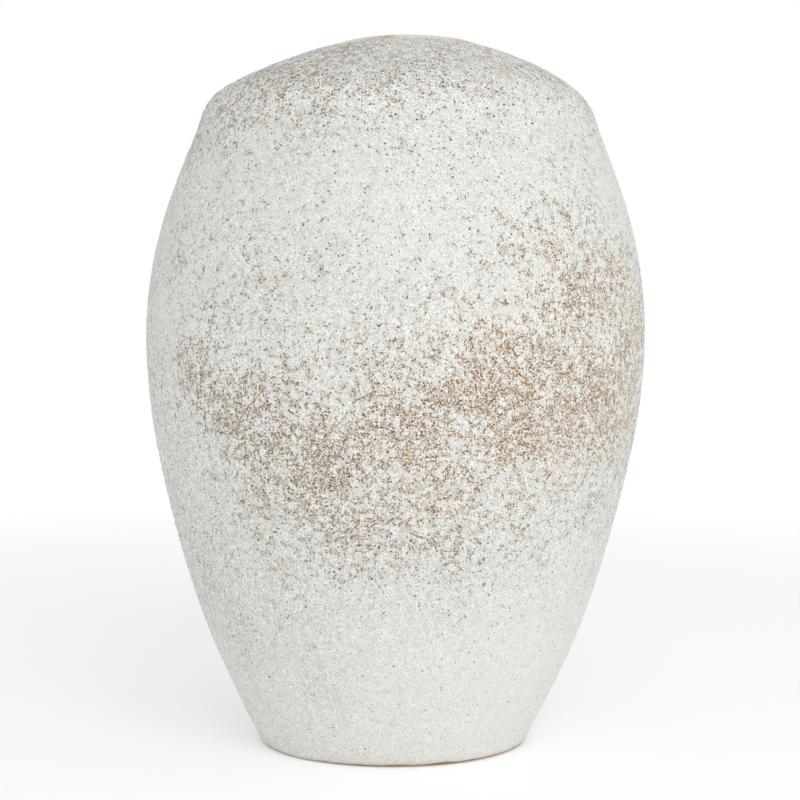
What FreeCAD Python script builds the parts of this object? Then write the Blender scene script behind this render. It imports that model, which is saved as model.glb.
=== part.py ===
import FreeCAD, Part
import os
import math
import Sketcher  # noqa: F401  (registers the sketch object type)

# ---------------------------------------------------------------------------
# Stoneware vase: a hand-shaped ovoid body on a small foot, a rounded shoulder
# corner, a low domed shoulder and a small round mouth with a soft raised lip.
# The fired object is one ceramic body with a glaze coat outside and a thinner
# liner glaze inside.  Millimetres, +Z up, origin at the centre of the foot.
#
# Every surface is a loft through level rings.  A ring is (height, radius,
# sideways shift of its centre); the shift gives the slight lean and the
# off-centre mouth of a piece shaped by hand.
# ---------------------------------------------------------------------------

os.makedirs("parts", exist_ok=True)

doc = FreeCAD.newDocument("StonewareVase")
sheet = doc.addObject("Spreadsheet::Sheet", "Sizes")
sheet.Label = "Sizes"

row_at = [1]


def cell(alias, value, note=""):
    """One driving dimension: its words in column A, its number in column B."""
    n = row_at[0]
    row_at[0] += 1
    sheet.set("A%d" % n, "'" + (note or alias.replace("_", " ")))
    sheet.set("B%d" % n, "%.4f" % value)
    sheet.setAlias("B%d" % n, alias)


# --- thicknesses and the foot ------------------------------------------------
cell("glaze_coat", 0.80, "thickness of the outer glaze on the wall")
cell("glaze_lip", 1.50, "thickness of the glaze rolled over the lip")
cell("glaze_liner", 0.50, "thickness of the inner glaze")
cell("clay_wall", 6.20, "thickness of the fired clay wall")
cell("foot_recess_radius", 46.5, "radius of the shallow recess under the foot")
cell("foot_recess_depth", 1.8, "depth of the recess under the foot")
cell("foot_edge_round", 0.9, "rounding of the recess edge")

# --- outer surface of the finished vase --------------------------------------
# (height, radius, shift, outward normal: radial part, vertical part)
OUTER = [
    (1.40, 57.95, -1.02, 0.900, -0.436),
    (4.48, 59.40, -1.20, 0.905, -0.425),
    (12.29, 63.49, -1.15, 0.890, -0.456),
    (21.19, 67.78, -0.92, 0.905, -0.425),
    (43.36, 77.92, -0.72, 0.922, -0.387),
    (69.76, 87.38, -0.74, 0.955, -0.297),
    (95.92, 94.83, -0.68, 0.966, -0.259),
    (121.94, 101.03, -0.46, 0.981, -0.192),
    (147.71, 105.31, -0.17, 0.993, -0.118),
    (173.31, 106.90, 0.00, 1.000, -0.004),
    (198.76, 105.21, 0.13, 0.990, 0.144),
    (224.15, 99.81, 0.42, 0.962, 0.273),
    (236.84, 95.70, 0.63, 0.941, 0.337),
    (256.36, 88.27, 0.85, 0.938, 0.347),
    (264.89, 85.10, 1.04, 0.950, 0.312),
    (268.27, 84.03, 1.05, 0.943, 0.333),
    (270.78, 82.97, 1.02, 0.900, 0.437),
    (273.28, 81.58, 0.98, 0.832, 0.555),
    (275.72, 79.70, 0.96, 0.737, 0.676),
    (278.17, 77.05, 1.08, 0.640, 0.768),
    (280.65, 73.75, 1.40, 0.562, 0.827),
    (283.66, 68.78, 1.99, 0.490, 0.872),
    (286.64, 63.16, 2.68, 0.450, 0.893),
    (289.81, 56.64, 3.30, 0.420, 0.908),
    (292.94, 49.45, 3.82, 0.385, 0.923),
    (295.90, 41.40, 4.25, 0.310, 0.951),
    (297.62, 35.60, 4.54, 0.300, 0.954),
    (298.55, 33.30, 4.70, 0.480, 0.877),
    (299.35, 31.80, 4.81, 0.500, 0.866),
    (299.84, 30.45, 4.87, 0.280, 0.960),
    (300.00, 29.20, 4.88, 0.000, 1.000),
]
LIP_FROM = 27  # rings from here up carry the thicker glaze of the lip

for k, (hgt, rad, sft, nr, nz) in enumerate(OUTER):
    cell("ring%02d_height" % k, hgt)
    cell("ring%02d_radius" % k, rad)
    cell("ring%02d_shift" % k, sft)
    cell("ring%02d_nradial" % k, nr)
    cell("ring%02d_nvertical" % k, nz)

# --- bare clay foot, below the glaze edge ------------------------------------
FOOT = [
    (0.00, 55.40, -0.97),
    (0.30, 56.50, -0.98),
    (0.80, 57.25, -1.00),
    (1.50, 57.55, -1.04),
    (2.80, 57.95, -1.12),
]
for k, (hgt, rad, sft) in enumerate(FOOT):
    cell("foot%02d_height" % k, hgt)
    cell("foot%02d_radius" % k, rad)
    cell("foot%02d_shift" % k, sft)

# --- inside floor and neck of the cavity --------------------------------------
# The floor is flat with a wide thrown corner; the neck turns from the underside
# of the dome into a short throat and opens again at the lip.
FLOOR = [
    (8.00, 38.00, -1.02, 0.000, -1.000),
    (8.14, 41.00, -1.03, 0.050, -0.999),
    (8.55, 45.00, -1.04, 0.150, -0.989),
    (9.90, 50.20, -1.06, 0.420, -0.907),
    (12.60, 54.40, -1.08, 0.680, -0.733),
    (17.00, 57.90, -1.02, 0.840, -0.543),
]
NECK = [
    (289.30, 39.40, 4.23, 0.345, 0.939),
    (291.70, 33.00, 4.48, 0.390, 0.921),
    (293.60, 29.10, 4.66, 0.560, 0.828),
    (295.30, 27.00, 4.76, 0.850, 0.527),
    (297.00, 26.30, 4.84, 0.995, 0.100),
    (298.30, 26.45, 4.86, 0.985, -0.170),
    (299.20, 26.90, 4.87, 0.900, -0.440),
    (299.70, 27.55, 4.88, 0.750, -0.660),
    (300.00, 28.40, 4.88, 0.500, -0.866),
]
for tag, rows in (("floor", FLOOR), ("neck", NECK)):
    for k, (hgt, rad, sft, nr, nz) in enumerate(rows):
        cell("%s%02d_height" % (tag, k), hgt)
        cell("%s%02d_radius" % (tag, k), rad)
        cell("%s%02d_shift" % (tag, k), sft)
        cell("%s%02d_nradial" % (tag, k), nr)
        cell("%s%02d_nvertical" % (tag, k), nz)

doc.recompute()


# --- ring lists as expressions -------------------------------------------------
def outer_rings(first=0):
    """The finished outside of the vase."""
    return [
        ("Sizes.ring%02d_height" % k, "Sizes.ring%02d_radius" % k, "Sizes.ring%02d_shift" % k)
        for k in range(first, len(OUTER))
    ]


def clay_rings():
    """The outside of the fired clay: the bare foot, then the glaze thickness in from the outer surface."""
    rings = [
        ("Sizes.foot%02d_height" % k, "Sizes.foot%02d_radius" % k, "Sizes.foot%02d_shift" % k)
        for k in range(len(FOOT))
    ]
    for k in range(1, len(OUTER)):
        coat = "Sizes.glaze_lip" if k >= LIP_FROM else "Sizes.glaze_coat"
        rings.append(
            (
                "Sizes.ring%02d_height - %s * Sizes.ring%02d_nvertical" % (k, coat, k),
                "Sizes.ring%02d_radius - %s * Sizes.ring%02d_nradial" % (k, coat, k),
                "Sizes.ring%02d_shift" % k,
            )
        )
    return rings


def cavity_rings(liner=False):
    """The inside of the fired clay, or the surface of the liner glaze on it."""
    inset = " - Sizes.glaze_liner * Sizes.%s%02d_%s" if liner else None

    def plain(tag, k):
        hgt = "Sizes.%s%02d_height" % (tag, k)
        rad = "Sizes.%s%02d_radius" % (tag, k)
        if inset:
            rad += inset % (tag, k, "nradial")
            hgt += inset % (tag, k, "nvertical")
        return hgt, rad, "Sizes.%s%02d_shift" % (tag, k)

    rings = [plain("floor", k) for k in range(len(FLOOR))]
    depth = "(Sizes.glaze_coat + Sizes.clay_wall%s)" % (" + Sizes.glaze_liner" if liner else "")
    for k in range(3, 25):
        if k in (15, 17, 19):  # the inner corner is tighter and needs fewer rings
            continue
        rings.append(
            (
                "Sizes.ring%02d_height - %s * Sizes.ring%02d_nvertical" % (k, depth, k),
                "Sizes.ring%02d_radius - %s * Sizes.ring%02d_nradial" % (k, depth, k),
                "Sizes.ring%02d_shift" % k,
            )
        )
    rings += [plain("neck", k) for k in range(len(NECK))]
    return rings


# --- feature helpers -----------------------------------------------------------
def plane_of(body, role):
    for feature in body.Origin.OriginFeatures:
        if feature.Role == role:
            return feature
    raise RuntimeError("no plane " + role)


def new_body(label):
    body = doc.addObject("PartDesign::Body", label)
    body.Label = label
    return body


def ring_sketch(body, name, rings_row):
    hgt, rad, sft = rings_row
    sk = body.newObject("Sketcher::SketchObject", name)
    sk.AttachmentSupport = [(plane_of(body, "XY_Plane"), "")]
    sk.MapMode = "FlatFace"
    sk.setExpression("AttachmentOffset.Base.x", sft)
    sk.setExpression("AttachmentOffset.Base.z", hgt)
    circle = Part.Circle(FreeCAD.Vector(0, 0, 0), FreeCAD.Vector(0, 0, 1), 40.0)
    for i in range(2):  # two half circles, which meet on the X axis
        sk.addGeometry(Part.ArcOfCircle(circle, i * math.pi, (i + 1) * math.pi), False)
        sk.addConstraint(Sketcher.Constraint("Coincident", i, 3, -1, 1))
        sk.addConstraint(Sketcher.Constraint("PointOnObject", i, 1, -1))
        sk.addConstraint(Sketcher.Constraint("PointOnObject", i, 2, -1))
    sk.addConstraint(Sketcher.Constraint("Equal", 0, 1))
    c = sk.addConstraint(Sketcher.Constraint("Radius", 0, 40.0))
    sk.setExpression("Constraints[%d]" % c, rad)
    return sk


def loft(body, kind, name, rings):
    """Lofts a smooth solid through level rings, added to or cut from the body."""
    sketches = [ring_sketch(body, "%s_ring%02d" % (name, i), r) for i, r in enumerate(rings)]
    feature = body.newObject(kind, name)
    feature.Profile = sketches[0]
    feature.Sections = sketches[1:]
    feature.Ruled = False
    feature.Closed = False
    doc.recompute()
    for sk in sketches:
        sk.Visibility = False
    return feature


def volume(body):
    doc.recompute()
    return body.Shape.Volume


# --- fired clay body -------------------------------------------------------------
clay = new_body("clay_body")
loft(clay, "PartDesign::AdditiveLoft", "ClayOutside", clay_rings())
full = volume(clay)
loft(clay, "PartDesign::SubtractiveLoft", "ClayCavity", cavity_rings())
hollow = volume(clay)
if not hollow < full * 0.5:
    raise RuntimeError("the cavity cut nothing")

recess_sk = clay.newObject("Sketcher::SketchObject", "RecessCircle")
recess_sk.AttachmentSupport = [(plane_of(clay, "XY_Plane"), "")]
recess_sk.MapMode = "FlatFace"
recess_sk.setExpression("AttachmentOffset.Base.x", "Sizes.foot00_shift")
recess_sk.addGeometry(Part.Circle(FreeCAD.Vector(0, 0, 0), FreeCAD.Vector(0, 0, 1), 40.0), False)
recess_sk.addConstraint(Sketcher.Constraint("Coincident", 0, 3, -1, 1))
cr = recess_sk.addConstraint(Sketcher.Constraint("Radius", 0, 40.0))
recess_sk.setExpression("Constraints[%d]" % cr, "Sizes.foot_recess_radius")
recess = clay.newObject("PartDesign::Pocket", "FootRecess")
recess.Profile = recess_sk
recess.Type = 0
recess.Reversed = True
recess.setExpression("Length", "Sizes.foot_recess_depth")
recessed = volume(clay)
want = math.pi * 46.5**2 * 1.8
if abs((hollow - recessed) - want) > 0.15 * want:
    raise RuntimeError("the foot recess is wrong: %.1f, not %.1f" % (hollow - recessed, want))

# the recess's lip at the foot ring is softened, as a sponged foot is
edges = []
for i, e in enumerate(recess.Shape.Edges):
    box = e.BoundBox
    if abs(box.XLength - 93.0) < 0.2 and box.ZLength < 0.01 and box.ZMax < 0.01:
        edges.append("Edge%d" % (i + 1))
if len(edges) != 1:
    raise RuntimeError("foot recess edge not found")
soft = clay.newObject("PartDesign::Fillet", "FootSoftEdge")
soft.Base = (recess, edges)
soft.setExpression("Radius", "Sizes.foot_edge_round")
doc.recompute()
if len(soft.Shape.Faces) != len(recess.Shape.Faces) + 1:
    raise RuntimeError("the foot edge was not rounded")

# --- outer glaze coat --------------------------------------------------------------
coat = new_body("outer_glaze")
loft(coat, "PartDesign::AdditiveLoft", "CoatOutside", outer_rings())
solid_coat = volume(coat)
loft(coat, "PartDesign::SubtractiveLoft", "CoatOverClay", clay_rings())
over_clay = volume(coat)
loft(coat, "PartDesign::SubtractiveLoft", "CoatMouth", cavity_rings())
open_coat = volume(coat)
if not (over_clay < solid_coat * 0.2 and open_coat < over_clay):
    raise RuntimeError("the outer glaze is not a skin")

# --- inner glaze liner ----------------------------------------------------------------
liner = new_body("inner_glaze")
loft(liner, "PartDesign::AdditiveLoft", "LinerOutside", cavity_rings())
solid_liner = volume(liner)
loft(liner, "PartDesign::SubtractiveLoft", "LinerInside", cavity_rings(liner=True))
if not volume(liner) < solid_liner * 0.1:
    raise RuntimeError("the inner glaze is not a skin")

# --- checks and export -------------------------------------------------------------------
doc.recompute()
for obj in doc.Objects:
    if "Invalid" in obj.State or "Error" in obj.State:
        raise RuntimeError("%s failed: %s" % (obj.Name, obj.State))

pieces = [clay, coat, liner]
for body in pieces:
    shape = body.Shape
    if shape.isNull() or not shape.isValid() or len(shape.Solids) != 1:
        raise RuntimeError("%s has a bad shape" % body.Label)

for body in pieces:
    body.Shape.exportStep("parts/%s.step" % body.Label)
    b = body.Shape.BoundBox
    print(
        "%-12s %8.1f cm3  x %.1f..%.1f  y %.1f..%.1f  z %.2f..%.2f  faces %d"
        % (body.Label, body.Shape.Volume / 1000.0, b.XMin, b.XMax, b.YMin, b.YMax, b.ZMin, b.ZMax, len(body.Shape.Faces))
    )
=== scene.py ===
import math

import bpy
import numpy as np
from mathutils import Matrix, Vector


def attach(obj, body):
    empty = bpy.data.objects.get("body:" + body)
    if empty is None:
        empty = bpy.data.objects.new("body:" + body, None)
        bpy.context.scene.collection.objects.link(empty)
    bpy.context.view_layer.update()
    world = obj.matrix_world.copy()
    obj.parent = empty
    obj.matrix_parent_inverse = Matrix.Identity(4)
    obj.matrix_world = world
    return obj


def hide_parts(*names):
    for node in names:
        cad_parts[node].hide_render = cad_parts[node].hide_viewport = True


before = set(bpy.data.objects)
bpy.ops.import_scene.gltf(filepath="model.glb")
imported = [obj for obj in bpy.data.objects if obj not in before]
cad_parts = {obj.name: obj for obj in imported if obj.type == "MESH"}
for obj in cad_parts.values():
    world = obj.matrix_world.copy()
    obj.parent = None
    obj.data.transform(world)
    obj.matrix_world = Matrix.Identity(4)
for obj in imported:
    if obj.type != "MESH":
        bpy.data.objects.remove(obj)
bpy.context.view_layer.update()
MM = 0.001

# ---------------------------------------------------------------------------
# Camera and stage
# ---------------------------------------------------------------------------
scene = bpy.context.scene

cam_data = bpy.data.cameras.new("camera")
cam_data.sensor_width = 36.0
cam_data.lens = 87.411
cam_data.clip_start = 0.01
cam_data.clip_end = 50.0
cam_data.dof.use_dof = False
cam = bpy.data.objects.new("camera", cam_data)
cam.location = (0.001875, -0.840, 0.19245)
cam.rotation_euler = (math.radians(90.0 - 3.0957), 0.0, 0.0)
scene.collection.objects.link(cam)
scene.camera = cam

scene.view_settings.view_transform = "Standard"
scene.view_settings.look = "None"
scene.view_settings.exposure = 0.0
scene.view_settings.gamma = 1.0


def area_light(name, where, aim, size, power, color=(1, 1, 1), size_y=None):
    data = bpy.data.lights.new(name, "AREA")
    data.shape = "RECTANGLE" if size_y else "SQUARE"
    data.size = size
    if size_y:
        data.size_y = size_y
    data.energy = power
    data.color = color
    ob = bpy.data.objects.new(name, data)
    ob.location = where
    ob.rotation_euler = (Vector(aim) - Vector(where)).to_track_quat("-Z", "Y").to_euler()
    scene.collection.objects.link(ob)
    return ob


def around(azimuth, elevation, distance, height=0.16):
    """A point seen from the vase at an azimuth (0 is towards the viewer, + is the viewer's right)."""
    a, e = math.radians(azimuth), math.radians(elevation)
    return (
        distance * math.cos(e) * math.sin(a),
        -distance * math.cos(e) * math.cos(a),
        height + distance * math.sin(e),
    )


area_light("key_softbox", around(14, 34, 1.9), (0, 0, 0.17), 1.2, 9.5, (1.0, 0.99, 0.975))
area_light("side_softbox", around(75, 10, 1.9), (0, 0, 0.13), 1.2, 2.6, (1.0, 0.99, 0.975))

world = bpy.data.worlds.new("studio")
scene.world = world
world.use_nodes = True
wt = world.node_tree
wt.nodes.clear()
w_out = wt.nodes.new("ShaderNodeOutputWorld")
w_mix = wt.nodes.new("ShaderNodeMixShader")
w_path = wt.nodes.new("ShaderNodeLightPath")
w_amb = wt.nodes.new("ShaderNodeBackground")
w_co = wt.nodes.new("ShaderNodeTexCoord")
w_sep = wt.nodes.new("ShaderNodeSeparateXYZ")
w_rng = wt.nodes.new("ShaderNodeMapRange")  # the room's light falls off overhead
w_rng.inputs["From Min"].default_value = 0.0
w_rng.inputs["From Max"].default_value = 1.0
w_rng.inputs["To Min"].default_value = 0.645
w_rng.inputs["To Max"].default_value = 0.72
wt.links.new(w_co.outputs["Generated"], w_sep.inputs[0])
wt.links.new(w_sep.outputs["Z"], w_rng.inputs["Value"])
wt.links.new(w_rng.outputs[0], w_amb.inputs["Strength"])
w_amb.inputs["Color"].default_value = (0.985, 0.995, 1.0, 1)
w_seen = wt.nodes.new("ShaderNodeBackground")
w_seen.inputs["Color"].default_value = (1.0, 1.0, 1.0, 1)
w_seen.inputs["Strength"].default_value = 1.0
wt.links.new(w_path.outputs["Is Camera Ray"], w_mix.inputs[0])
wt.links.new(w_amb.outputs[0], w_mix.inputs[1])
wt.links.new(w_seen.outputs[0], w_mix.inputs[2])
wt.links.new(w_mix.outputs[0], w_out.inputs["Surface"])


def floor_material():
    mat = bpy.data.materials.new("studio_floor")
    mat.use_nodes = True
    nt = mat.node_tree
    bsdf = nt.nodes["Principled BSDF"]
    bsdf.inputs["Base Color"].default_value = (0.9, 0.9, 0.9, 1)
    bsdf.inputs["Roughness"].default_value = 0.9
    bsdf.inputs["Specular IOR Level"].default_value = 0.1
    bsdf.inputs["Emission Color"].default_value = (1, 1, 1, 1)
    # the floor glows with painted light: weaker near the vase as painted shade round it, brighter far off
    co = nt.nodes.new("ShaderNodeTexCoord")
    ln = nt.nodes.new("ShaderNodeVectorMath")
    ln.operation = "LENGTH"
    nt.links.new(co.outputs["Object"], ln.inputs[0])
    rng = nt.nodes.new("ShaderNodeMapRange")
    rng.interpolation_type = "SMOOTHSTEP"
    rng.inputs["From Min"].default_value = 0.35
    rng.inputs["From Max"].default_value = 1.7
    rng.inputs["To Min"].default_value = 0.22
    rng.inputs["To Max"].default_value = 0.50
    nt.links.new(ln.outputs["Value"], rng.inputs["Value"])
    nt.links.new(rng.outputs[0], bsdf.inputs["Emission Strength"])
    return mat


bpy.ops.mesh.primitive_circle_add(vertices=96, radius=9.0, fill_type="NGON", location=(0, 0, 0))
floor = bpy.context.object
floor.name = "studio_floor"
floor.data.materials.append(floor_material())

# ---------------------------------------------------------------------------
# The vase's rings (millimetres): height, radius, sideways shift
# ---------------------------------------------------------------------------
OUTER = [
    (0.70, 57.50, -1.00), (1.40, 57.95, -1.02), (4.48, 59.40, -1.20), (12.29, 63.49, -1.15), (21.19, 67.78, -0.92),
    (43.36, 77.92, -0.72), (69.76, 87.38, -0.74), (95.92, 94.83, -0.68), (121.94, 101.03, -0.46),
    (147.71, 105.31, -0.17), (173.31, 106.90, 0.00), (198.76, 105.21, 0.13), (224.15, 99.81, 0.42),
    (236.84, 95.70, 0.63), (256.36, 88.27, 0.85), (264.89, 85.10, 1.04), (268.27, 84.03, 1.05),
    (270.78, 82.97, 1.02), (273.28, 81.58, 0.98), (275.72, 79.70, 0.96), (278.17, 77.05, 1.08),
    (280.65, 73.75, 1.40), (283.66, 68.78, 1.99), (286.64, 63.16, 2.68), (289.83, 56.64, 3.30),
    (293.02, 49.45, 3.82), (296.06, 41.40, 4.25), (297.75, 35.60, 4.54), (298.42, 33.25, 4.70),
    (299.02, 31.64, 4.81), (299.56, 29.97, 4.87), (300.00, 28.60, 4.88),
]
# over the lip and down behind it, to where the coat tucks under the liner
LIP_IN = [(299.93, 27.95, 4.88), (299.62, 27.50, 4.88), (299.10, 27.30, 4.88), (298.62, 27.25, 4.88)]
# the coat's hidden back, lying on the clay, from the lip down to the foot
BACK = [
    (298.53, 28.2, 4.88), (298.53, 29.3, 4.87), (298.35, 30.2, 4.85), (297.6, 31.6, 4.8), (296.9, 33.4, 4.7),
    (295.6, 36.9, 4.5), (291.9, 48.9, 3.82), (288.9, 56.1, 3.3), (285.8, 62.8, 2.68), (279.9, 73.1, 1.40),
    (275.1, 78.9, 0.96), (272.8, 80.7, 0.98), (268.0, 83.1, 1.05), (256.1, 87.4, 0.85), (236.6, 94.8, 0.63),
    (224.0, 98.9, 0.42), (198.7, 104.3, 0.13), (173.3, 106.0, 0.0), (147.8, 104.4, -0.17), (122.1, 100.1, -0.46),
    (96.2, 93.95, -0.68), (70.0, 86.5, -0.74), (43.7, 77.1, -0.72), (21.5, 67.0, -0.92), (12.6, 62.7, -1.15),
    (4.8, 58.7, -1.20), (2.8, 58.05, -1.12), (1.5, 57.63, -1.04), (0.85, 57.33, -1.0),
]
INSIDE = [  # the liner's seen surface, floor to lip
    (8.50, 0.0, -1.02), (8.50, 12.0, -1.02), (8.50, 26.0, -1.02), (8.50, 38.0, -1.02), (8.64, 41.0, -1.03), (9.05, 44.9, -1.04),
    (10.35, 50.0, -1.06), (12.97, 54.06, -1.08), (17.3, 57.5, -1.02), (24.38, 60.99, -0.92), (46.26, 71.0, -0.72),
    (71.99, 80.22, -0.74), (97.86, 87.58, -0.68), (123.38, 93.67, -0.46), (148.59, 97.86, -0.17), (173.34, 99.40, 0.0),
    (197.68, 97.78, 0.13), (222.1, 92.6, 0.42), (234.3, 88.64, 0.63), (253.76, 81.23, 0.85), (265.77, 76.96, 1.05),
    (269.11, 75.34, 0.98), (272.41, 72.25, 1.08), (277.12, 65.1, 1.99), (279.94, 59.78, 2.68), (283.0, 53.5, 3.30),
    (286.02, 46.56, 3.82), (288.83, 39.23, 4.23), (291.24, 32.8, 4.48), (293.2, 28.8, 4.66), (295.05, 26.6, 4.76),
    (296.95, 25.85, 4.84), (298.20, 26.05, 4.86), (298.95, 26.55, 4.87), (299.42, 27.3, 4.88), (299.48, 27.9, 4.88),
]


def spline(points, count=None, step=None):
    """A natural cubic through the points by chord length, resampled to even arc length. Columns: height, radius, shift."""
    p = np.array(points, float)
    t = np.r_[0, np.cumsum(np.hypot(np.diff(p[:, 0]), np.diff(p[:, 1])))]
    n = len(t)
    h = np.diff(t)
    a = np.zeros((n, n))
    a[0, 0] = a[-1, -1] = 1
    for i in range(1, n - 1):
        a[i, i - 1 : i + 2] = h[i - 1], 2 * (h[i - 1] + h[i]), h[i]
    rhs = np.zeros((n, 3))
    rhs[1:-1] = 3 * ((p[2:] - p[1:-1]) / h[1:, None] - (p[1:-1] - p[:-2]) / h[:-1, None])
    c = np.linalg.solve(a, rhs)
    b = (p[1:] - p[:-1]) / h[:, None] - h[:, None] * (2 * c[:-1] + c[1:]) / 3
    d = (c[1:] - c[:-1]) / (3 * h[:, None])

    def at(q):
        k = np.clip(np.searchsorted(t, q, side="right") - 1, 0, n - 2)
        u = (q - t[k])[:, None]
        return p[k] + b[k] * u + c[k] * u**2 + d[k] * u**3

    fine = np.linspace(0, t[-1], 6000)
    f = at(fine)
    s = np.r_[0, np.cumsum(np.hypot(np.diff(f[:, 0]), np.diff(f[:, 1])))]
    if count is None:
        count = int(round(s[-1] / step)) + 1
    return at(np.interp(np.linspace(0, s[-1], count), s, fine)), s[-1]


def smooth(x, lo, hi):
    u = np.clip((x - lo) / (hi - lo), 0, 1)
    return u * u * (3 - 2 * u)


def periodic(angles, values, a):
    """Smooth value around the vase from a few control angles (degrees)."""
    ang = np.array(angles, float)
    val = np.array(values, float)
    a = np.degrees(a)
    a = (a + 180.0) % 360.0 - 180.0
    ang = np.r_[ang - 360, ang, ang + 360]
    val = np.r_[val, val, val]
    k = np.searchsorted(ang, a, side="right") - 1
    u = (a - ang[k]) / (ang[k + 1] - ang[k])
    u = u * u * (3 - 2 * u)
    return val[k] * (1 - u) + val[k + 1] * u


AROUND = 960  # columns round the vase; theta 0 is the front, + towards +X
THETA = np.arange(AROUND) * 2 * math.pi / AROUND


def ring_points(rings):
    """(rings, columns, 3) positions in mm for level rings."""
    z = rings[:, 0][:, None]
    r = rings[:, 1][:, None]
    c = rings[:, 2][:, None]
    return np.stack(
        [c + r * np.sin(THETA)[None], -r * np.cos(THETA)[None], z + 0 * THETA[None]], -1
    )


def grid_mesh(name, pts, wrap_rings, poles=False):
    """A quad mesh over rings x columns. wrap_rings closes the last ring onto the first; poles closes both ends with fans."""
    nr, nc = pts.shape[:2]
    co = pts.reshape(-1, 3)
    i = np.arange(nr if wrap_rings else nr - 1)
    j = np.arange(nc)
    ii, jj = np.meshgrid(i, j, indexing="ij")
    i2 = (ii + 1) % nr
    j2 = (jj + 1) % nc
    quads = np.stack([ii * nc + jj, ii * nc + j2, i2 * nc + j2, i2 * nc + jj], -1).reshape(-1, 4)
    loops = [quads.reshape(-1)]
    sizes = [np.full(len(quads), 4)]
    if poles:
        first, last = len(co), len(co) + 1
        co = np.vstack([co, pts[0].mean(0), pts[-1].mean(0)])
        jn = (j + 1) % nc
        loops.append(np.stack([jn, j, np.full(nc, first)], -1).reshape(-1))
        base = (nr - 1) * nc
        loops.append(np.stack([base + j, base + jn, np.full(nc, last)], -1).reshape(-1))
        sizes += [np.full(2 * nc, 3)]
    loops = np.concatenate(loops).astype(np.int32)
    sizes = np.concatenate(sizes).astype(np.int32)
    me = bpy.data.meshes.new(name)
    me.vertices.add(len(co))
    me.vertices.foreach_set("co", (co * MM).astype(np.float32).reshape(-1))
    me.loops.add(len(loops))
    me.loops.foreach_set("vertex_index", loops)
    me.polygons.add(len(sizes))
    me.polygons.foreach_set("loop_start", np.r_[0, np.cumsum(sizes)[:-1]].astype(np.int32))
    me.update(calc_edges=True)
    me.validate()
    me.polygons.foreach_set("use_smooth", np.ones(len(me.polygons), bool))
    return me


def add_attr(me, name, kind, values):
    at = me.attributes.new(name, kind, "POINT")
    at.data.foreach_set("vector" if kind == "FLOAT_VECTOR" else "value", np.asarray(values, np.float32).reshape(-1))


# ---------------------------------------------------------------------------
# Outer coat: from a slightly uneven edge above the foot, up the wall, over the
# dome and the lip, and back down on the clay
# ---------------------------------------------------------------------------
front, wall_len = spline(OUTER + LIP_IN, step=0.62)
lip_len = 0.0
back, _ = spline(BACK, count=60)
rings = np.vstack([front, back])
coat = ring_points(rings)
nf = len(front)

theta = THETA[None]
z_ring = front[:, 0][:, None]
on_front = np.arange(len(rings)) < nf
crest = int(np.argmax(front[:, 0]))

# the glaze's lower edge isn't level: it runs a little up and down, with one small step
edge = (
    0.18 * np.sin(2 * THETA + 0.6)
    + 0.11 * np.sin(5 * THETA + 2.1)
    + 0.08 * np.sin(11 * THETA + 0.4)
    + 0.06 * np.sin(23 * THETA + 1.0)
    + 0.45 * np.exp(-(((np.degrees(THETA) - 22 + 180) % 360 - 180) / 5.0) ** 2)
)
drop = 1 - smooth(front[:, 0], 0.7, 8.0)
drop[crest:] = 0
coat[:nf, :, 2] += drop[:, None] * edge[None]
drop_b = 1 - smooth(back[:, 0], 0.85, 8.0)
coat[nf:, :, 2] += drop_b[:, None] * edge[None]

# the lower edge is rounded, as thick glaze is where it stops
arc = np.r_[0, np.cumsum(np.hypot(np.diff(front[:, 0]), np.diff(front[:, 1])))]
tuck = 0.30 * np.exp(-arc / 0.6)
radial = np.stack([np.sin(THETA), -np.cos(THETA), 0 * THETA], -1)
coat[:nf] -= tuck[:, None, None] * radial[None]

# the lip and the top of the dome wave a little: higher at front and back than at the sides
wave = smooth(front[:, 0], 284.0, 298.0)
coat[:nf, :, 2] += wave[:, None] * (0.40 * np.cos(2 * THETA)[None] - 0.28)


# --- where the glaze breaks to brown and grey --------------------------------
ANG = [-180, -150, -110, -80, -58, -43, -31, -22, -13, -5, 4, 12, 20, 30, 40, 54, 75, 100, 140]
AMP = [0.60, 0.70, 0.55, 0.32, 0.38, 0.94, 1.02, 0.95, 0.98, 1.0, 0.94, 1.02, 0.92, 1.05, 1.15, 1.16, 0.85, 0.5, 0.45]
MID = [150, 152, 156, 158, 158, 157, 143, 138, 137, 140, 142, 146, 147, 153, 163, 160, 158, 152, 148]
UP = [20, 22, 20, 16, 16, 20, 23, 23, 23, 25, 28, 31, 34, 37, 34, 31, 28, 22, 20]
DOWN = [22, 22, 20, 18, 17, 17, 21, 23, 24, 25, 27, 30, 28, 30, 30, 28, 24, 24, 24]
RUST = [0.8, 0.7, 0.5, 0.35, 0.30, 0.35, 0.45, 0.5, 0.65, 0.8, 0.85, 0.95, 1.0, 1.05, 1.1, 1.05, 0.9, 0.8, 0.8]


def bell(v, mid, sig):
    return np.exp(-0.5 * ((v - mid) / sig) ** 2)


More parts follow.
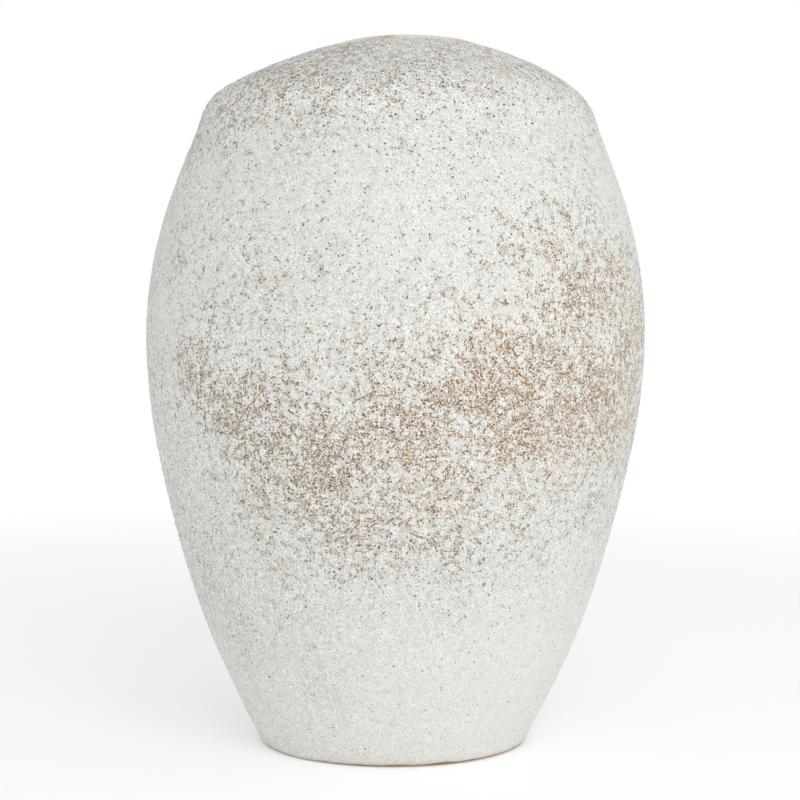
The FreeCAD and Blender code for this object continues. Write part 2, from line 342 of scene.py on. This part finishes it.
def fields(pts):
    """Densities from the angle round the vase and the height (mm): specks, how rusty they are, and soft grey mottling."""
    x, y, z = pts[..., 0], pts[..., 1], pts[..., 2]
    a = np.arctan2(x, -y)
    ad = np.degrees(a)
    low = 0.5 * np.sin(z / 13.0 + 4 * a + 0.4) + 0.35 * np.sin(z / 7.0 - 9 * a) + 0.3 * np.sin(15 * a + z / 19.0)
    dz = z - periodic(ANG, MID, a) - 2.0 * low
    band = periodic(ANG, AMP, a) * np.where(
        dz > 0, np.exp(-0.5 * (dz / periodic(ANG, UP, a)) ** 2), np.exp(-0.5 * (dz / periodic(ANG, DOWN, a)) ** 2)
    )
    left = periodic([-180, -110, -60, -30, 0, 40, 90, 140], [0.6, 0.9, 1.0, 0.75, 0.3, 0.05, 0.35, 0.5], a)
    mid = periodic([-180, -45, -15, 10, 45, 120], [0.6, 0.7, 1.0, 0.8, 0.5, 0.5], a)
    dome = smooth(z, 262, 283)
    out = (
        dome * (0.28 + 0.20 * left)
        + 0.42 * left * bell(z, 266, 11)
        + 0.13 * smooth(z, 178, 215) * (1 - dome)
        + 0.05 * smooth(z, 60, 110)
        + 0.06 * bell(z, 250, 14)
        + 0.16 * left * bell(z, 198, 24)
        + 0.18 * bell(z, 205, 16) * smooth(ad, -5, 30)
        + 0.16 * mid * bell(z, 100, 16)
        + 0.13 * bell(z, 84, 14) * (0.4 + 0.6 * mid)
    )
    specks = np.clip((band + out) * (1 + 0.20 * low), 0, 1.15)
    rust = np.clip(periodic(ANG, RUST, a) * smooth(band, 0.04, 0.5), 0.36, 1.1)
    rust = np.maximum(rust, 0.8 * dome * np.exp(-(((ad - 40) / 22.0) ** 2)))
    grey = (
        0.20
        + 0.12 * smooth(z, 80, 120)
        + 0.75 * dome
        + 0.45 * bell(z, 263, 14) * (0.5 + 0.5 * left)
        + 0.22 * bell(z, 240, 16) * (0.4 + 0.6 * left)
        + 0.34 * bell(z, 200, 18) * (0.6 + 0.4 * left)
        + 0.42 * bell(z, 145, 28)
        + 0.62 * bell(z, 100, 20) * (0.5 + 0.5 * mid)
        + 0.42 * left * bell(z, 66, 26)
        + 0.34 * left * smooth(-z, -105, -55)
        - 0.12 * smooth(-z, -75, -50) * (1 - left)
    )
    grey = np.clip(grey * (1 + 0.15 * low), 0.02, 1.2)
    return specks, rust, grey


speck_f, rust_f, grey_f = fields(coat)
lip_f = np.zeros(coat.shape[:2])
lip_prof = smooth(front[:, 0], 297.2, 298.9)
lip_prof[crest:] = 1.0
lip_f[:nf] = lip_prof[:, None]
oval = np.hypot((coat[..., 0] - 2.5) / 47.0, coat[..., 1] / 33.5)
oval_f = (1 - smooth(oval + 0.04 * np.sin(5 * THETA)[None] + 0.03 * np.sin(13 * THETA + 1)[None], 0.92, 1.06)) * (coat[..., 2] > 284)
oval_f[nf:] = 0
lip_f = np.maximum(lip_f, oval_f * (0.85 - 0.35 * smooth(coat[..., 0], 12, 40)))
edge_f = np.zeros(coat.shape[:2])
edge_f[:nf] = np.exp(-arc / 1.6)[:, None]
tan_f = np.zeros(coat.shape[:2])  # where the glaze runs thin on the lip and shows rusty clay
ad_all = (np.degrees(THETA) + 180) % 360 - 180
tan_line = (
    1.15 * np.exp(-(((ad_all + 20) / 12.0) ** 2))
    + 0.55 * np.exp(-(((ad_all - 52) / 16.0) ** 2))
    + 0.8 * np.exp(-(((ad_all - 78) / 10.0) ** 2))
    + 0.9 * np.exp(-(((ad_all - 165) / 20.0) ** 2))
    + 0.5 * np.exp(-(((ad_all + 112) / 12.0) ** 2))
)
tan_f[:nf] = smooth(front[:, 0], 296.4, 298.6)[:, None] * np.minimum(tan_line, 1.1)[None]
tan_f[crest:nf] = np.minimum(tan_line, 1.1)[None]

coat_me = grid_mesh("glaze_coat", coat, wrap_rings=True)
add_attr(coat_me, "rest", "FLOAT_VECTOR", coat.reshape(-1, 3) * MM)
add_attr(coat_me, "speck", "FLOAT", speck_f)
add_attr(coat_me, "rust", "FLOAT", rust_f)
add_attr(coat_me, "grey", "FLOAT", grey_f)
# a twisted copy of the place, in which even noise comes out as short slanting strokes
tw = 7.0 * coat[..., 2] * MM
flow = np.stack(
    [
        coat[..., 0] * np.cos(tw) - coat[..., 1] * np.sin(tw),
        coat[..., 0] * np.sin(tw) + coat[..., 1] * np.cos(tw),
        coat[..., 2] * 0.75,
    ],
    -1,
)
add_attr(coat_me, "flow", "FLOAT_VECTOR", flow.reshape(-1, 3) * MM)
rad = np.hypot(coat[..., 0], coat[..., 1]) + 1e-6
rho = (36.0 + 0.4 * rad) / rad
drawn = np.stack([coat[..., 0] * rho, coat[..., 1] * rho, coat[..., 2] * 0.95], -1)
add_attr(coat_me, "drawn", "FLOAT_VECTOR", drawn.reshape(-1, 3) * MM)
add_attr(coat_me, "lip", "FLOAT", lip_f)
add_attr(coat_me, "edge", "FLOAT", edge_f)
add_attr(coat_me, "thin", "FLOAT", tan_f)
relief_w = np.zeros(coat.shape[:2])
relief_w[:nf] = (1 - 0.85 * lip_prof)[:, None] * (1 - 0.7 * np.exp(-arc / 1.2))[:, None]
add_attr(coat_me, "relief", "FLOAT", relief_w)
coat_ob = bpy.data.objects.new("glaze_coat", coat_me)
scene.collection.objects.link(coat_ob)


# ---------------------------------------------------------------------------
# Node helpers shared by the relief (geometry nodes) and the colours (shader)
# ---------------------------------------------------------------------------
class Tree:
    def __init__(self, nt):
        self.nt = nt

    def link(self, a, b):
        self.nt.links.new(a, b)

    def put(self, node, key, value):
        sock = node.inputs[key]
        if isinstance(value, bpy.types.NodeSocket):
            self.link(value, sock)
        else:
            sock.default_value = value

    def noise(self, vec, scale, detail=2.0, rough=0.5, distortion=0.0, offset=None):
        if offset is not None:
            vec = self.vadd(vec, offset)
        n = self.nt.nodes.new("ShaderNodeTexNoise")
        self.put(n, "Vector", vec)
        n.inputs["Scale"].default_value = scale
        n.inputs["Detail"].default_value = detail
        n.inputs["Roughness"].default_value = rough
        n.inputs["Distortion"].default_value = distortion
        return n.outputs[0]

    def voronoi(self, vec, scale, feature="F1", offset=None):
        if offset is not None:
            vec = self.vadd(vec, offset)
        n = self.nt.nodes.new("ShaderNodeTexVoronoi")
        n.feature = feature
        self.put(n, "Vector", vec)
        n.inputs["Scale"].default_value = scale
        return n

    def vadd(self, vec, offset):
        n = self.nt.nodes.new("ShaderNodeVectorMath")
        n.operation = "ADD"
        self.put(n, 0, vec)
        n.inputs[1].default_value = offset
        return n.outputs[0]

    def vmul(self, vec, scale3):
        n = self.nt.nodes.new("ShaderNodeVectorMath")
        n.operation = "MULTIPLY"
        self.put(n, 0, vec)
        n.inputs[1].default_value = scale3
        return n.outputs[0]

    def math(self, op, a, b=0.0, c=None, clamp=False):
        n = self.nt.nodes.new("ShaderNodeMath")
        n.operation = op
        n.use_clamp = clamp
        self.put(n, 0, a)
        self.put(n, 1, b)
        if c is not None:
            self.put(n, 2, c)
        return n.outputs[0]

    def mad(self, a, mul, add):
        return self.math("MULTIPLY_ADD", a, mul, add)

    def ramp(self, value, lo, hi, to_lo=0.0, to_hi=1.0, kind="SMOOTHSTEP"):
        n = self.nt.nodes.new("ShaderNodeMapRange")
        n.interpolation_type = kind
        n.clamp = True if kind == "LINEAR" else n.clamp
        self.put(n, "Value", value)
        self.put(n, "From Min", lo)
        self.put(n, "From Max", hi)
        self.put(n, "To Min", to_lo)
        self.put(n, "To Max", to_hi)
        return n.outputs[0]

    def mix(self, fac, a, b):
        n = self.nt.nodes.new("ShaderNodeMix")
        n.data_type = "RGBA"
        n.clamp_factor = True
        self.put(n, 0, fac)
        self.put(n, 6, a)
        self.put(n, 7, b)
        return n.outputs[2]


def flakes(t, rest):
    """The beaded build of the glaze: about 0 in the cracks between flakes, up to 1 on them."""
    n = t.nt.nodes.new("ShaderNodeTexNoise")
    t.put(n, "Vector", rest)
    n.inputs["Scale"].default_value = 190.0
    n.inputs["Detail"].default_value = 1.0
    warp = t.nt.nodes.new("ShaderNodeVectorMath")
    warp.operation = "MULTIPLY_ADD"
    t.link(n.outputs["Color"], warp.inputs[0])
    warp.inputs[1].default_value = (0.0028, 0.0028, 0.0028)
    t.link(rest, warp.inputs[2])
    cell = t.voronoi(warp.outputs[0], 300.0, feature="DISTANCE_TO_EDGE")
    n1 = t.noise(rest, 300.0, detail=2.5, rough=0.6, offset=(3.1, 1.7, 9.2))
    n2 = t.noise(rest, 75.0, detail=2.0, rough=0.5, offset=(6.1, 4.7, 0.2))
    body = t.ramp(cell.outputs["Distance"], 0.0, 0.24)
    h = t.mad(body, 0.26, 0.43 - 0.85 - 0.25)
    h = t.math("ADD", h, t.math("MULTIPLY", n1, 1.70))
    return t.math("ADD", h, t.mad(n2, 0.50, 0.0), clamp=True)


# --- relief, applied to the mesh ------------------------------------------------
def relief(ob):
    ng = bpy.data.node_groups.new("relief", "GeometryNodeTree")
    ng.interface.new_socket("Geometry", in_out="INPUT", socket_type="NodeSocketGeometry")
    ng.interface.new_socket("Geometry", in_out="OUTPUT", socket_type="NodeSocketGeometry")
    g_in = ng.nodes.new("NodeGroupInput")
    g_out = ng.nodes.new("NodeGroupOutput")
    t = Tree(ng)

    def named(name, kind):
        n = ng.nodes.new("GeometryNodeInputNamedAttribute")
        n.data_type = kind
        n.inputs[0].default_value = name
        return next(o for o in n.outputs if o.enabled and o.name == "Attribute")

    rest = named("rest", "FLOAT_VECTOR")
    weight = named("relief", "FLOAT")
    normal = ng.nodes.new("GeometryNodeInputNormal").outputs[0]
    f = flakes(t, rest)
    fine = t.noise(rest, 620.0, detail=1.5, rough=0.5, offset=(7.7, 2.2, 5.1))
    broad = t.noise(rest, 30.0, detail=2.0, rough=0.5, offset=(1.1, 8.2, 3.3))
    hgt = t.mad(f, 0.42, -0.28)  # millimetres
    hgt = t.math("ADD", hgt, t.mad(fine, 0.42, -0.21))
    hgt = t.math("ADD", hgt, t.mad(broad, 0.34, -0.17))
    hgt = t.math("MULTIPLY", hgt, weight)
    hgt = t.math("MULTIPLY", hgt, MM)
    scale = ng.nodes.new("ShaderNodeVectorMath")
    scale.operation = "SCALE"
    t.link(normal, scale.inputs[0])
    t.link(hgt, scale.inputs["Scale"])
    setp = ng.nodes.new("GeometryNodeSetPosition")
    t.link(g_in.outputs[0], setp.inputs["Geometry"])
    t.link(scale.outputs[0], setp.inputs["Offset"])
    t.link(setp.outputs[0], g_out.inputs[0])
    mod = ob.modifiers.new("relief", "NODES")
    mod.node_group = ng
    bpy.context.view_layer.update()
    dg = bpy.context.evaluated_depsgraph_get()
    me = bpy.data.meshes.new_from_object(ob.evaluated_get(dg))
    ob.modifiers.clear()
    old = ob.data
    ob.data = me
    bpy.data.meshes.remove(old)
    me.name = ob.name
    bpy.data.node_groups.remove(ng)


relief(coat_ob)


# ---------------------------------------------------------------------------
# Materials
# ---------------------------------------------------------------------------
def new_material(name):
    mat = bpy.data.materials.new(name)
    mat.use_nodes = True
    nt = mat.node_tree
    bsdf = nt.nodes["Principled BSDF"]
    return mat, Tree(nt), bsdf


def attr(t, name, vector=False):
    n = t.nt.nodes.new("ShaderNodeAttribute")
    n.attribute_name = name
    return n.outputs["Vector" if vector else "Fac"]


def dots(t, where, scale, offset, r0, r1, chance, soft=0.09):
    """Round dots of random size, each kept by chance. Returns the mask and one random number per dot."""
    vor = t.voronoi(where, scale, offset=offset)
    sep = t.nt.nodes.new("ShaderNodeSeparateColor")
    t.link(vor.outputs["Color"], sep.inputs[0])
    size = t.mad(sep.outputs[2], r1 - r0, r0)
    m = t.ramp(vor.outputs["Distance"], t.math("SUBTRACT", size, soft), size, 1.0, 0.0)
    m = t.math("MULTIPLY", m, t.math("LESS_THAN", sep.outputs[0], chance))
    return m, sep.outputs[1]


def glaze_material():
    mat, t, bsdf = new_material("speckled_glaze")
    rest = attr(t, "rest", vector=True)
    flow = attr(t, "flow", vector=True)
    speck = attr(t, "speck")
    rust = attr(t, "rust")
    grey = attr(t, "grey")
    lip = attr(t, "lip")
    edge_a = attr(t, "edge")
    thin = attr(t, "thin")

    h = flakes(t, rest)
    cloud = t.noise(rest, 55.0, detail=3.0, rough=0.6, offset=(0.4, 6.1, 7.5))
    grain = t.noise(rest, 1250.0, detail=1.5, rough=0.6, offset=(2.2, 4.4, 6.6))
    strokes = t.noise(flow, 300.0, detail=4.0, rough=0.68, offset=(5.5, 0.3, 2.6))

    # how deep into the cracks between the flakes
    cut = t.math("ADD", t.mad(speck, 0.35, 0.14), t.mad(grey, 0.16, 0.0))
    gap = t.ramp(t.math("SUBTRACT", h, cut), -0.10, 0.09, 1.0, 0.0)

    pos = t.nt.nodes.new("ShaderNodeSeparateXYZ")
    t.link(rest, pos.inputs[0])
    white = t.mix(t.ramp(pos.outputs[2], 0.055, 0.15), (0.828, 0.832, 0.812, 1), (0.838, 0.831, 0.780, 1))
    soft = (0.595, 0.592, 0.575, 1)
    tone = t.mix(t.ramp(grain, 0.38, 0.62), t.mix(t.mad(grey, 1.1, 0.0), (0.745, 0.739, 0.695, 1), (0.60, 0.592, 0.56, 1)), t.mix(grey, white, (0.90, 0.895, 0.855, 1)))
    tone = t.mix(t.math("MULTIPLY", t.ramp(h, 0.25, 0.75, 1.0, 0.0), t.mad(grey, 0.50, 0.10)), tone, (0.645, 0.618, 0.57, 1))
    m1 = t.ramp(strokes, 0.46, 0.66)
    m1 = t.math("MULTIPLY", m1, t.mad(grey, 1.0, 0.25), clamp=True)
    col = t.mix(t.math("MULTIPLY", m1, 0.45), tone, soft)
    dome = t.math("MULTIPLY", t.ramp(pos.outputs[2], 0.255, 0.272), t.mad(lip, -0.8, 1.0))
    # fine grey grains all over, thin on the white parts
    c5 = t.math("MULTIPLY", t.mad(gap, 0.78, 0.22), t.mad(grey, 0.80, 0.06))
    d5, k5 = dots(t, rest, 1250.0, (2.9, 6.1, 9.7), 0.28, 0.56, c5)
    col = t.mix(t.math("MULTIPLY", d5, t.mad(dome, -0.30, 0.78)), col, t.mix(k5, (0.34, 0.312, 0.275, 1), (0.565, 0.535, 0.49, 1)))
    # between the flakes the coat is thinner: grey, or warm where it is rusty
    thin_tone = t.mix(rust, (0.46, 0.435, 0.385, 1), (0.60, 0.49, 0.36, 1))
    thin_amt = t.math("MULTIPLY", gap, t.mad(speck, 0.20, 0.0))
    thin_amt = t.math("ADD", thin_amt, t.math("MULTIPLY", gap, t.mad(grey, 0.34, 0.02)), clamp=True)
    col = t.mix(thin_amt, col, thin_tone)

    # specks, crowded into the cracks
    c1 = t.math("MULTIPLY", gap, t.mad(speck, 0.62, 0.06))
    c1 = t.math("ADD", c1, t.mad(speck, 0.06, 0.004))
    d1, k1 = dots(t, rest, 1300.0, (1.7, 8.8, 4.2), 0.36, 0.64, c1, soft=0.06)
    d2, k2 = dots(t, rest, 1750.0, (4.9, 2.1, 7.4), 0.36, 0.62, t.math("MULTIPLY", c1, 0.80), soft=0.06)
    rusty = t.mix(k1, (0.11, 0.047, 0.013, 1), (0.43, 0.22, 0.072, 1))
    taupe = t.mix(k1, (0.045, 0.035, 0.026, 1), (0.28, 0.225, 0.155, 1))
    speck_c = t.mix(t.math("LESS_THAN", k2, t.mad(rust, 0.84, 0.12)), taupe, rusty)
    rusty2 = t.mix(k2, (0.20, 0.094, 0.029, 1), (0.52, 0.315, 0.125, 1))
    taupe2 = t.mix(k2, (0.13, 0.105, 0.08, 1), (0.36, 0.31, 0.25, 1))
    speck_c2 = t.mix(t.math("LESS_THAN", k1, t.mad(rust, 0.80, 0.14)), taupe2, rusty2)
    col = t.mix(t.math("MULTIPLY", d2, 0.92), col, speck_c2)
    col = t.mix(t.math("MULTIPLY", d1, 0.97), col, speck_c)

    # tiny bright dots beside them: painted glints, set as near-white colour
    painted_glint_chance = t.math("MULTIPLY", t.mad(gap, 0.75, 0.25), t.math("ADD", t.mad(speck, 0.26, 0.08), t.math("MULTIPLY", grey, 0.22)))
    painted_glint_dots, painted_glint_rand = dots(t, rest, 1350.0, (6.3, 0.9, 3.8), 0.32, 0.58, painted_glint_chance, soft=0.06)
    col = t.mix(t.math("MULTIPLY", painted_glint_dots, 0.92), col, (0.97, 0.965, 0.945, 1))

    # on the dome and the shoulder the specks are larger and darker, and the bright dots between them are painted glints
    drawn = attr(t, "drawn", vector=True)
    c6 = t.math("MULTIPLY", dome, t.mad(speck, 0.56, 0.07))
    d6, k6 = dots(t, drawn, 1020.0, (3.3, 7.9, 0.6), 0.18, 0.44, c6, soft=0.06)
    col = t.mix(t.math("MULTIPLY", d6, 0.96), col, t.mix(t.math("POWER", k6, 1.6), (0.022, 0.016, 0.012, 1), (0.30, 0.150, 0.06, 1)))
    # painted glints on the dome: near-white dots standing in for highlights
    dome_glint_chance = t.math("MULTIPLY", dome, 0.20)
    dome_painted_glints, dome_glint_rand = dots(t, drawn, 980.0, (9.1, 1.4, 5.2), 0.22, 0.46, dome_glint_chance, soft=0.06)
    col = t.mix(t.math("MULTIPLY", dome_painted_glints, 0.92), col, (0.97, 0.965, 0.945, 1))

    # a few dark pits anywhere
    c4 = t.math("ADD", t.mad(speck, 0.30, 0.006), t.math("MULTIPLY", t.math("POWER", grey, 2.5), 0.34))
    d4, k4 = dots(t, rest, 760.0, (8.3, 5.9, 1.8), 0.14, 0.30, c4, soft=0.06)
    col = t.mix(t.math("MULTIPLY", d4, 0.88), col, t.mix(k4, (0.045, 0.035, 0.028, 1), (0.25, 0.14, 0.075, 1)))

    # the lip: smooth cream, rusty where the glaze ran thin
    cream = t.mix(t.ramp(cloud, 0.4, 0.6), (0.84, 0.775, 0.665, 1), (0.88, 0.84, 0.76, 1))
    col = t.mix(t.math("MULTIPLY", lip, 0.78), col, cream)
    run = t.math("MULTIPLY", thin, t.ramp(t.noise(rest, 160.0, detail=2.0), 0.38, 0.60, 0.35, 0.9))
    col = t.mix(run, col, (0.55, 0.33, 0.16, 1))
    # the edge at the foot goes warm and thin
    col = t.mix(t.math("MULTIPLY", edge_a, 0.45), col, (0.52, 0.43, 0.33, 1))
    t.link(col, bsdf.inputs["Base Color"])

    rough = t.ramp(grain, 0.35, 0.68, 0.66, 0.44)
    rough = t.math("SUBTRACT", rough, t.math("MULTIPLY", painted_glint_dots, 0.30))
    rough = t.math("SUBTRACT", rough, t.math("MULTIPLY", d1, 0.12))
    rough = t.math("SUBTRACT", rough, t.math("MULTIPLY", lip, 0.10), clamp=True)
    t.link(rough, bsdf.inputs["Roughness"])
    bsdf.inputs["Specular IOR Level"].default_value = 0.40

    # fine grain as bump on top of the modelled relief
    hgt = t.mad(grain, 1.1, 0.0)
    hgt = t.math("ADD", hgt, t.math("MULTIPLY", painted_glint_dots, 0.35))
    hgt = t.math("SUBTRACT", hgt, t.math("MULTIPLY", d1, 0.35))
    hgt = t.math("SUBTRACT", hgt, t.math("MULTIPLY", d4, 0.9))
    hgt = t.math("MULTIPLY", hgt, t.math("MULTIPLY", t.mad(lip, -0.75, 1.0), t.mad(grey, 0.5, 0.5)))
    bump = t.nt.nodes.new("ShaderNodeBump")
    bump.inputs["Strength"].default_value = 0.7
    bump.inputs["Distance"].default_value = 0.00042
    t.link(hgt, bump.inputs["Height"])
    t.link(bump.outputs[0], bsdf.inputs["Normal"])
    return mat


def liner_material():
    mat, t, bsdf = new_material("liner_glaze")
    co = t.nt.nodes.new("ShaderNodeTexCoord").outputs["Object"]
    cloud = t.noise(co, 40.0, detail=4.0, rough=0.6)
    fine = t.noise(co, 700.0, detail=2.0, rough=0.5)
    streak = t.noise(t.vmul(co, (1.0, 1.0, 0.18)), 120.0, detail=3.0, rough=0.55)
    col = t.mix(t.ramp(cloud, 0.38, 0.62), (0.55, 0.50, 0.42, 1), (0.66, 0.63, 0.56, 1))
    col = t.mix(t.ramp(streak, 0.50, 0.72, 0.0, 0.45), col, (0.45, 0.36, 0.27, 1))
    col = t.mix(t.ramp(fine, 0.66, 0.74, 0.0, 0.6), col, (0.25, 0.17, 0.11, 1))
    t.link(col, bsdf.inputs["Base Color"])
    t.link(t.ramp(cloud, 0.35, 0.65, 0.30, 0.42), bsdf.inputs["Roughness"])
    bump = t.nt.nodes.new("ShaderNodeBump")
    bump.inputs["Strength"].default_value = 0.25
    bump.inputs["Distance"].default_value = 0.0004
    t.link(t.math("ADD", t.math("MULTIPLY", streak, 0.8), t.math("MULTIPLY", fine, 0.3)), bump.inputs["Height"])
    t.link(bump.outputs[0], bsdf.inputs["Normal"])
    return mat


def clay_material():
    mat, t, bsdf = new_material("bare_clay")
    co = t.nt.nodes.new("ShaderNodeTexCoord").outputs["Object"]
    cloud = t.noise(co, 32.0, detail=4.0, rough=0.6)
    grit = t.noise(co, 850.0, detail=2.0, rough=0.6)
    vor = t.voronoi(co, 520.0)
    sep = t.nt.nodes.new("ShaderNodeSeparateColor")
    t.link(vor.outputs["Color"], sep.inputs[0])
    spot = t.math(
        "MULTIPLY",
        t.ramp(vor.outputs["Distance"], 0.12, 0.24, 1.0, 0.0),
        t.math("LESS_THAN", sep.outputs[0], 0.22),
    )
    # the clay's browns are kept dark: partly the clay's own colour, partly painted shade for the shadowed line under
    # the foot
    col = t.mix(t.ramp(cloud, 0.36, 0.64), (0.30, 0.195, 0.115, 1), (0.43, 0.30, 0.185, 1))
    col = t.mix(t.ramp(grit, 0.55, 0.72, 0.0, 0.5), col, (0.52, 0.41, 0.28, 1))
    col = t.mix(t.math("MULTIPLY", spot, 0.8), col, (0.16, 0.10, 0.065, 1))
    t.link(col, bsdf.inputs["Base Color"])
    bsdf.inputs["Roughness"].default_value = 0.88
    bsdf.inputs["Specular IOR Level"].default_value = 0.25
    # faint turning lines round the foot
    ln = t.nt.nodes.new("ShaderNodeVectorMath")
    ln.operation = "LENGTH"
    t.link(t.vmul(co, (1.0, 1.0, 0.0)), ln.inputs[0])
    rings_h = t.math("SINE", t.math("MULTIPLY", t.math("ADD", ln.outputs["Value"], t.math("MULTIPLY", cloud, 0.002)), 4200.0))
    hgt = t.math("ADD", t.math("MULTIPLY", grit, 0.9), t.math("MULTIPLY", rings_h, 0.18))
    bump = t.nt.nodes.new("ShaderNodeBump")
    bump.inputs["Strength"].default_value = 0.6
    bump.inputs["Distance"].default_value = 0.0004
    t.link(hgt, bump.inputs["Height"])
    t.link(bump.outputs[0], bsdf.inputs["Normal"])
    return mat


coat_ob.data.materials.clear()
coat_ob.data.materials.append(glaze_material())
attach(coat_ob, "root")
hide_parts("outer_glaze")

# ---------------------------------------------------------------------------
# Inner liner: a closed thin cup, seen surface inwards
# ---------------------------------------------------------------------------
AROUND = 360
THETA = np.arange(AROUND) * 2 * math.pi / AROUND
inner, _ = spline(INSIDE[1:], step=1.6)
seen = ring_points(inner)
# shallow throwing lines inside
turn = 0.18 * np.sin(inner[:, 0] / 6.5 * 2 * math.pi)[:, None] * smooth(inner[:, 0], 14, 30)[:, None]
turn = turn * (1 - smooth(inner[:, 0], 268, 284))[:, None] * (1 + 0.3 * np.sin(3 * THETA)[None])
rad_in = np.stack([np.sin(THETA), -np.cos(THETA), 0 * THETA], -1)
seen = seen + turn[..., None] * rad_in[None]
d = np.gradient(inner[:, :2], axis=0)
d /= np.hypot(d[:, 0], d[:, 1])[:, None]
hidden_r = inner[::-1].copy()
hidden_r[:, 0] = (inner[:, 0] - 0.42 * d[:, 1])[::-1]
hidden_r[:, 1] = (inner[:, 1] + 0.42 * d[:, 0])[::-1]
keep = hidden_r[4:][::3]
hidden = ring_points(keep)
shell = np.vstack([seen, hidden])[::-1]
liner_me = grid_mesh("liner_coat", shell, wrap_rings=False, poles=True)
liner_ob = bpy.data.objects.new("liner_coat", liner_me)
scene.collection.objects.link(liner_ob)
liner_me.materials.append(liner_material())
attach(liner_ob, "root")
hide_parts("inner_glaze")

# the fired clay keeps its CAD shape and gets its material
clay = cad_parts["clay_body"]
mat = clay_material()
if clay.data.materials:
    for s in clay.material_slots:
        s.material = mat
else:
    clay.data.materials.append(mat)
